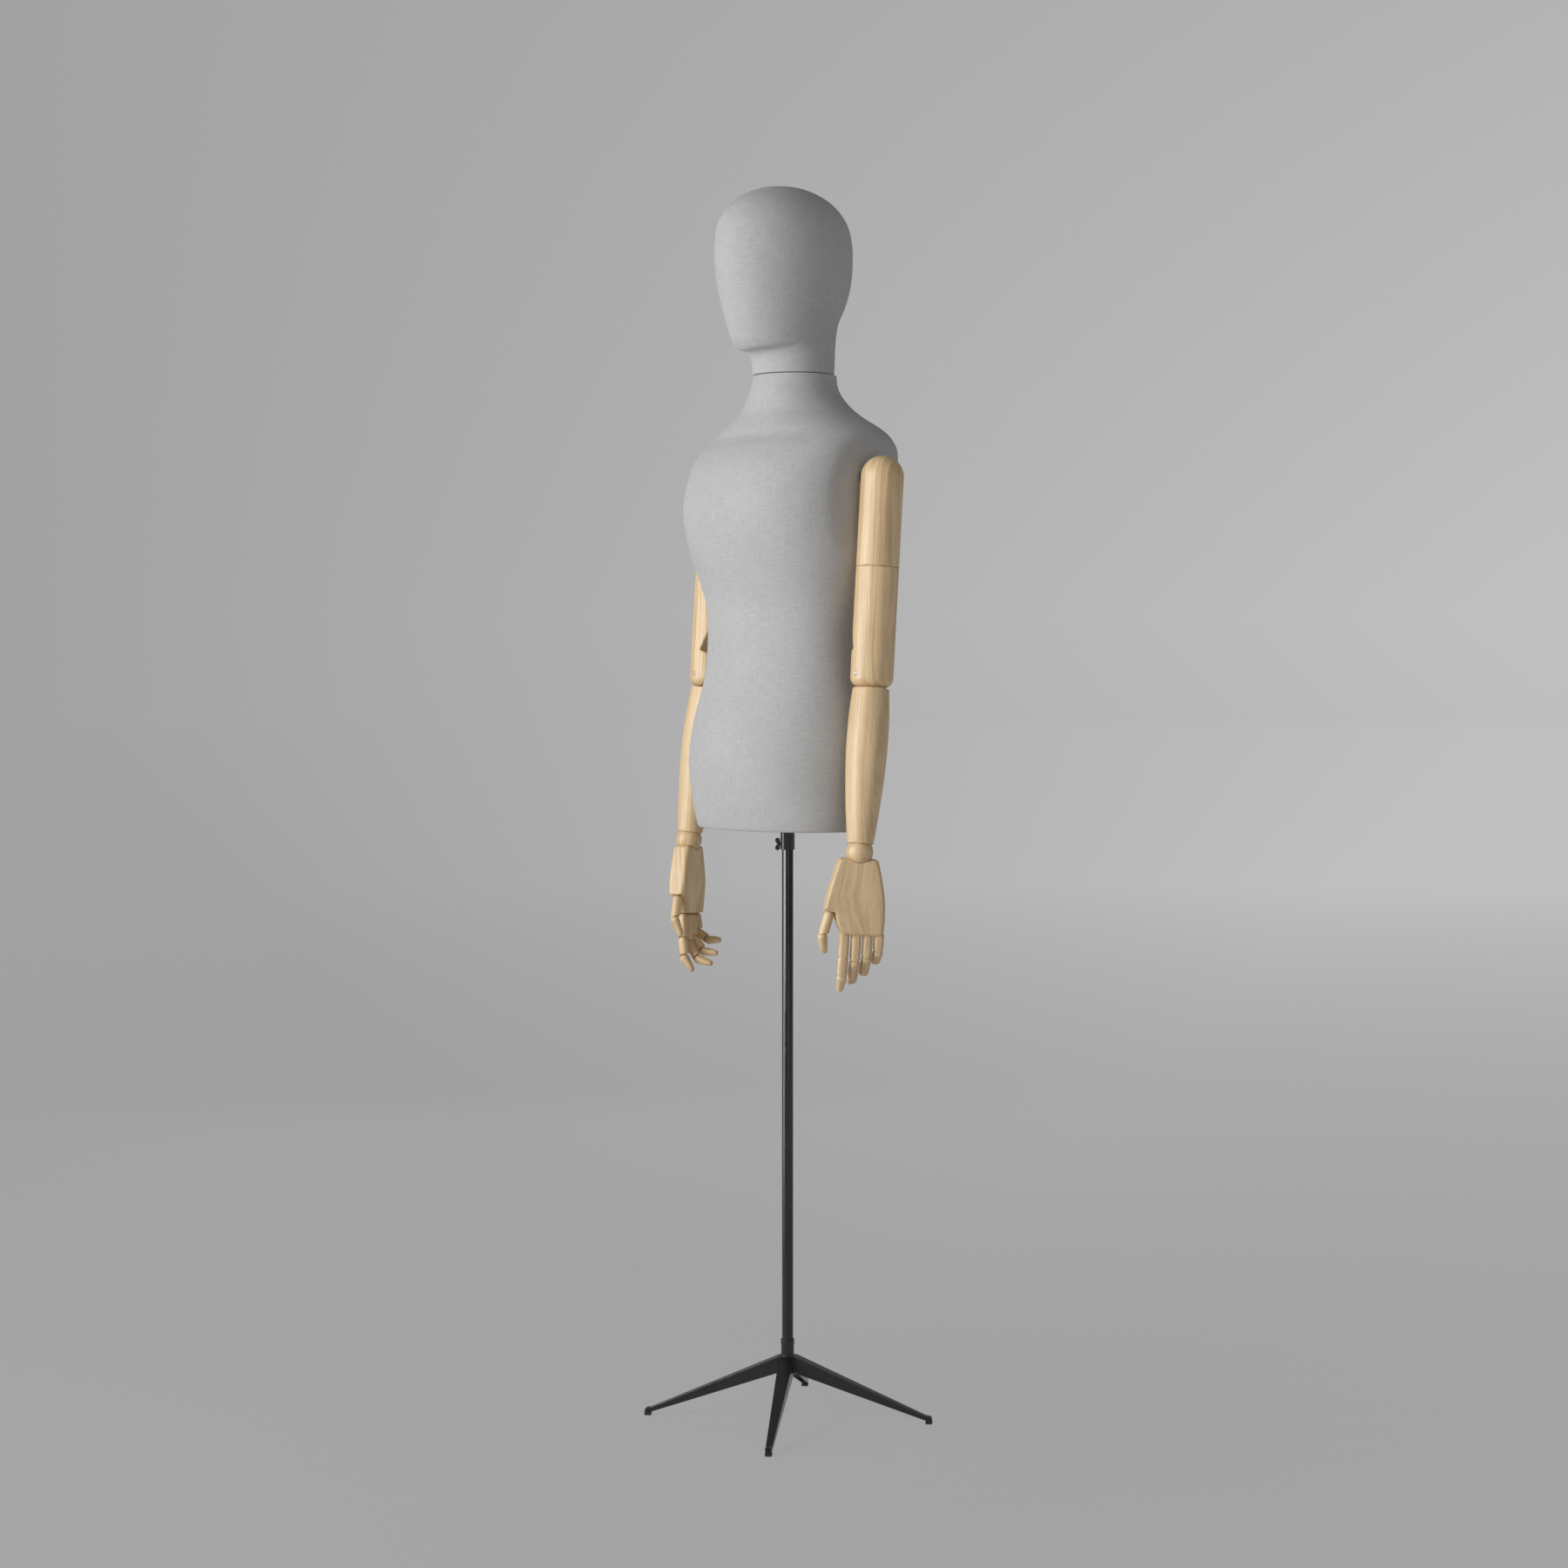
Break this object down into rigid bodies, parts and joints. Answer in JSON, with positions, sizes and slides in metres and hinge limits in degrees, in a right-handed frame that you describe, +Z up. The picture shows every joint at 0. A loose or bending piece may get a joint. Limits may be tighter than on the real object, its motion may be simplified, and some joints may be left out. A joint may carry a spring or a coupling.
{
  "type": "articulated display mannequin on a stand",
  "caption": "fabric-covered torso and faceless egg-shaped head with jointed wooden arms and hands, on a black metal post with splayed legs",
  "frame": {"origin": "on the floor, on the axis of the post, midway between the feet", "axes": "+Z up along the post; the body faces -Y; its own left arm is at +X"},
  "size_m": [0.4528, 0.3004, 1.7535],
  "materials": {
    "linen": "woven linen",
    "wood": "satin, fine grain",
    "black_metal": "satin black",
    "steel": "brushed",
    "rubber": "matte",
    "plastic": "matte"
  },
  "bodies": {
    "base": {"base_hub": "black_metal", "leg_rear_left": "black_metal", "leg_rear_right": "black_metal", "leg_front_right": "black_metal", "leg_front_left": "black_metal", "foot_glide_rear_left": "rubber", "foot_glide_rear_right": "rubber", "foot_glide_front_right": "rubber", "foot_glide_front_left": "rubber"},
    "post": {"post": "black_metal", "post_cap": "plastic"},
    "torso": {"clamp_collar": "black_metal", "bottom_board": "wood", "torso_shell": "linen", "neck_cap": "wood", "neck_peg": "wood", "shoulder_mount_left": "black_metal", "shoulder_mount_right": "black_metal"},
    "wing_screw": {"wing_screw": "black_metal"},
    "head": {"head": "linen"},
    "upper_arm_left": {"upper_arm_top_left": "wood"},
    "elbow_block_left": {"upper_arm_bottom_left": "wood", "elbow_pin_left": "steel"},
    "forearm_left": {"forearm_left": "wood"},
    "wrist_ball_left": {"wrist_ball_left": "wood"},
    "palm_left": {"palm_left": "wood"},
    "thumb_1_left": {"thumb_1_left": "wood"},
    "thumb_2_left": {"thumb_2_left": "wood"},
    "index_1_left": {"index_1_left": "wood"},
    "index_2_left": {"index_2_left": "wood"},
    "index_3_left": {"index_3_left": "wood"},
    "middle_1_left": {"middle_1_left": "wood"},
    "middle_2_left": {"middle_2_left": "wood"},
    "middle_3_left": {"middle_3_left": "wood"},
    "ring_1_left": {"ring_1_left": "wood"},
    "ring_2_left": {"ring_2_left": "wood"},
    "ring_3_left": {"ring_3_left": "wood"},
    "little_1_left": {"little_1_left": "wood"},
    "little_2_left": {"little_2_left": "wood"},
    "little_3_left": {"little_3_left": "wood"},
    "upper_arm_right": {"upper_arm_top_right": "wood"},
    "elbow_block_right": {"upper_arm_bottom_right": "wood", "elbow_pin_right": "steel"},
    "forearm_right": {"forearm_right": "wood"},
    "wrist_ball_right": {"wrist_ball_right": "wood"},
    "palm_right": {"palm_right": "wood"},
    "thumb_1_right": {"thumb_1_right": "wood"},
    "thumb_2_right": {"thumb_2_right": "wood"},
    "index_1_right": {"index_1_right": "wood"},
    "index_2_right": {"index_2_right": "wood"},
    "index_3_right": {"index_3_right": "wood"},
    "middle_1_right": {"middle_1_right": "wood"},
    "middle_2_right": {"middle_2_right": "wood"},
    "middle_3_right": {"middle_3_right": "wood"},
    "ring_1_right": {"ring_1_right": "wood"},
    "ring_2_right": {"ring_2_right": "wood"},
    "ring_3_right": {"ring_3_right": "wood"},
    "little_1_right": {"little_1_right": "wood"},
    "little_2_right": {"little_2_right": "wood"},
    "little_3_right": {"little_3_right": "wood"}
  },
  "joints": [
    {"name": "post_turn", "type": "hinge", "parent": "base", "child": "post", "pos_m": [0, 0, 0.09], "axis": [0, 0, 1], "continuous": true},
    {"name": "torso_height", "type": "slide", "parent": "post", "child": "torso", "axis": [0, 0, 1], "range_m": [-0.25, 0.15]},
    {"name": "wing_screw_turn", "type": "hinge", "parent": "torso", "child": "wing_screw", "pos_m": [0, 0, 0.826], "axis": [-0.6097, -0.7926, 0], "continuous": true},
    {"name": "head_turn", "type": "hinge", "parent": "torso", "child": "head", "pos_m": [0, 0.0102, 1.49], "axis": [0, 0, 1], "continuous": true},
    {"name": "shoulder_swing_left", "type": "hinge", "parent": "torso", "child": "upper_arm_left", "pos_m": [0.188, 0.019, 1.3375], "axis": [-1, 0, 0], "range_deg": [-50, 170]},
    {"name": "upper_arm_twist_left", "type": "hinge", "parent": "upper_arm_left", "child": "elbow_block_left", "pos_m": [0.188, 0.019, 1.3375], "axis": [0, 0.0665, 0.9978], "range_deg": [-10, 100]},
    {"name": "elbow_left", "type": "hinge", "parent": "elbow_block_left", "child": "forearm_left", "pos_m": [0.188, 0.001, 1.0675], "axis": [0, 0.9978, -0.0665], "range_deg": [-1.5, 5]},
    {"name": "wrist_bend_left", "type": "hinge", "parent": "forearm_left", "child": "wrist_ball_left", "pos_m": [0.199, -0.0295, 0.825], "axis": [0.5053, 0.8613, -0.0523], "range_deg": [-35, 35]},
    {"name": "wrist_tilt_left", "type": "hinge", "parent": "wrist_ball_left", "child": "palm_left", "pos_m": [0.199, -0.0295, 0.825], "axis": [0.8625, -0.506, 0], "range_deg": [-20, 20]},
    {"name": "thumb_1_bend_left", "type": "hinge", "parent": "palm_left", "child": "thumb_1_left", "pos_m": [0.17747, -0.0662, 0.73911], "axis": [0.9734, 0.1453, -0.1772], "range_deg": [-10, 12]},
    {"name": "thumb_2_bend_left", "type": "hinge", "parent": "thumb_1_left", "child": "thumb_2_left", "pos_m": [0.17314, -0.07357, 0.70931], "axis": [0.9734, 0.1453, -0.1772], "range_deg": [-32, 20]},
    {"name": "index_1_bend_left", "type": "hinge", "parent": "palm_left", "child": "index_1_left", "pos_m": [0.18838, -0.04759, 0.71134], "axis": [0.5053, 0.8613, -0.0523], "range_deg": [-6, 60]},
    {"name": "index_2_bend_left", "type": "hinge", "parent": "index_1_left", "child": "index_2_left", "pos_m": [0.18748, -0.04913, 0.67739], "axis": [0.5053, 0.8613, -0.0523], "range_deg": [-8, 80]},
    {"name": "index_3_bend_left", "type": "hinge", "parent": "index_2_left", "child": "index_3_left", "pos_m": [0.18368, -0.04846, 0.65168], "axis": [0.5053, 0.8613, -0.0523], "range_deg": [-28, 45]},
    {"name": "middle_1_bend_left", "type": "hinge", "parent": "palm_left", "child": "middle_1_left", "pos_m": [0.19672, -0.03338, 0.71048], "axis": [0.5053, 0.8613, -0.0523], "range_deg": [-10, 60]},
    {"name": "middle_2_bend_left", "type": "hinge", "parent": "middle_1_left", "child": "middle_2_left", "pos_m": [0.19393, -0.03411, 0.67159], "axis": [0.5053, 0.8613, -0.0523], "range_deg": [-34, 54]},
    {"name": "middle_3_bend_left", "type": "hinge", "parent": "middle_2_left", "child": "middle_3_left", "pos_m": [0.1788, -0.02659, 0.64925], "axis": [0.5053, 0.8613, -0.0523], "range_deg": [-38, 35]},
    {"name": "ring_1_bend_left", "type": "hinge", "parent": "palm_left", "child": "ring_1_left", "pos_m": [0.20481, -0.0196, 0.70964], "axis": [0.5053, 0.8613, -0.0523], "range_deg": [-12, 58]},
    {"name": "ring_2_bend_left", "type": "hinge", "parent": "ring_1_left", "child": "ring_2_left", "pos_m": [0.20151, -0.01963, 0.67731], "axis": [0.5053, 0.8613, -0.0523], "range_deg": [-40, 48]},
    {"name": "ring_3_bend_left", "type": "hinge", "parent": "ring_2_left", "child": "ring_3_left", "pos_m": [0.18579, -0.01148, 0.65966], "axis": [0.5053, 0.8613, -0.0523], "range_deg": [-40, 33]},
    {"name": "little_1_bend_left", "type": "hinge", "parent": "palm_left", "child": "little_1_left", "pos_m": [0.21264, -0.00625, 0.70883], "axis": [0.5053, 0.8613, -0.0523], "range_deg": [-15, 53]},
    {"name": "little_2_bend_left", "type": "hinge", "parent": "little_1_left", "child": "little_2_left", "pos_m": [0.20842, -0.00521, 0.68523], "axis": [0.5053, 0.8613, -0.0523], "range_deg": [-50, 38]},
    {"name": "little_3_bend_left", "type": "hinge", "parent": "little_2_left", "child": "little_3_left", "pos_m": [0.19322, 0.00311, 0.67524], "axis": [0.5053, 0.8613, -0.0523], "range_deg": [-32, 40]},
    {"name": "shoulder_swing_right", "type": "hinge", "parent": "torso", "child": "upper_arm_right", "pos_m": [-0.188, 0.019, 1.3375], "axis": [-1, 0, 0], "range_deg": [-50, 170]},
    {"name": "upper_arm_twist_right", "type": "hinge", "parent": "upper_arm_right", "child": "elbow_block_right", "pos_m": [-0.188, 0.019, 1.3375], "axis": [0, -0.0665, -0.9978], "range_deg": [-10, 100]},
    {"name": "elbow_right", "type": "hinge", "parent": "elbow_block_right", "child": "forearm_right", "pos_m": [-0.188, 0.001, 1.0675], "axis": [0, -0.9978, 0.0665], "range_deg": [-1.5, 5]},
    {"name": "wrist_bend_right", "type": "hinge", "parent": "forearm_right", "child": "wrist_ball_right", "pos_m": [-0.199, -0.0295, 0.825], "axis": [0.5053, -0.8613, 0.0523], "range_deg": [-35, 35]},
    {"name": "wrist_tilt_right", "type": "hinge", "parent": "wrist_ball_right", "child": "palm_right", "pos_m": [-0.199, -0.0295, 0.825], "axis": [0.8625, 0.506, 0], "range_deg": [-20, 20]},
    {"name": "thumb_1_bend_right", "type": "hinge", "parent": "palm_right", "child": "thumb_1_right", "pos_m": [-0.17747, -0.0662, 0.73911], "axis": [0.9734, -0.1453, 0.1772], "range_deg": [-10, 12]},
    {"name": "thumb_2_bend_right", "type": "hinge", "parent": "thumb_1_right", "child": "thumb_2_right", "pos_m": [-0.17314, -0.07357, 0.70931], "axis": [0.9734, -0.1453, 0.1772], "range_deg": [-32, 20]},
    {"name": "index_1_bend_right", "type": "hinge", "parent": "palm_right", "child": "index_1_right", "pos_m": [-0.18838, -0.04759, 0.71134], "axis": [0.5053, -0.8613, 0.0523], "range_deg": [-6, 60]},
    {"name": "index_2_bend_right", "type": "hinge", "parent": "index_1_right", "child": "index_2_right", "pos_m": [-0.18748, -0.04913, 0.67739], "axis": [0.5053, -0.8613, 0.0523], "range_deg": [-8, 80]},
    {"name": "index_3_bend_right", "type": "hinge", "parent": "index_2_right", "child": "index_3_right", "pos_m": [-0.18368, -0.04846, 0.65168], "axis": [0.5053, -0.8613, 0.0523], "range_deg": [-28, 45]},
    {"name": "middle_1_bend_right", "type": "hinge", "parent": "palm_right", "child": "middle_1_right", "pos_m": [-0.19672, -0.03338, 0.71048], "axis": [0.5053, -0.8613, 0.0523], "range_deg": [-10, 60]},
    {"name": "middle_2_bend_right", "type": "hinge", "parent": "middle_1_right", "child": "middle_2_right", "pos_m": [-0.19393, -0.03411, 0.67159], "axis": [0.5053, -0.8613, 0.0523], "range_deg": [-34, 54]},
    {"name": "middle_3_bend_right", "type": "hinge", "parent": "middle_2_right", "child": "middle_3_right", "pos_m": [-0.1788, -0.02659, 0.64925], "axis": [0.5053, -0.8613, 0.0523], "range_deg": [-38, 35]},
    {"name": "ring_1_bend_right", "type": "hinge", "parent": "palm_right", "child": "ring_1_right", "pos_m": [-0.20481, -0.0196, 0.70964], "axis": [0.5053, -0.8613, 0.0523], "range_deg": [-12, 58]},
    {"name": "ring_2_bend_right", "type": "hinge", "parent": "ring_1_right", "child": "ring_2_right", "pos_m": [-0.20151, -0.01963, 0.67731], "axis": [0.5053, -0.8613, 0.0523], "range_deg": [-40, 48]},
    {"name": "ring_3_bend_right", "type": "hinge", "parent": "ring_2_right", "child": "ring_3_right", "pos_m": [-0.18579, -0.01148, 0.65966], "axis": [0.5053, -0.8613, 0.0523], "range_deg": [-40, 33]},
    {"name": "little_1_bend_right", "type": "hinge", "parent": "palm_right", "child": "little_1_right", "pos_m": [-0.21264, -0.00625, 0.70883], "axis": [0.5053, -0.8613, 0.0523], "range_deg": [-15, 53]},
    {"name": "little_2_bend_right", "type": "hinge", "parent": "little_1_right", "child": "little_2_right", "pos_m": [-0.20842, -0.00521, 0.68523], "axis": [0.5053, -0.8613, 0.0523], "range_deg": [-50, 38]},
    {"name": "little_3_bend_right", "type": "hinge", "parent": "little_2_right", "child": "little_3_right", "pos_m": [-0.19322, 0.00311, 0.67524], "axis": [0.5053, -0.8613, 0.0523], "range_deg": [-32, 40]}
  ]
}
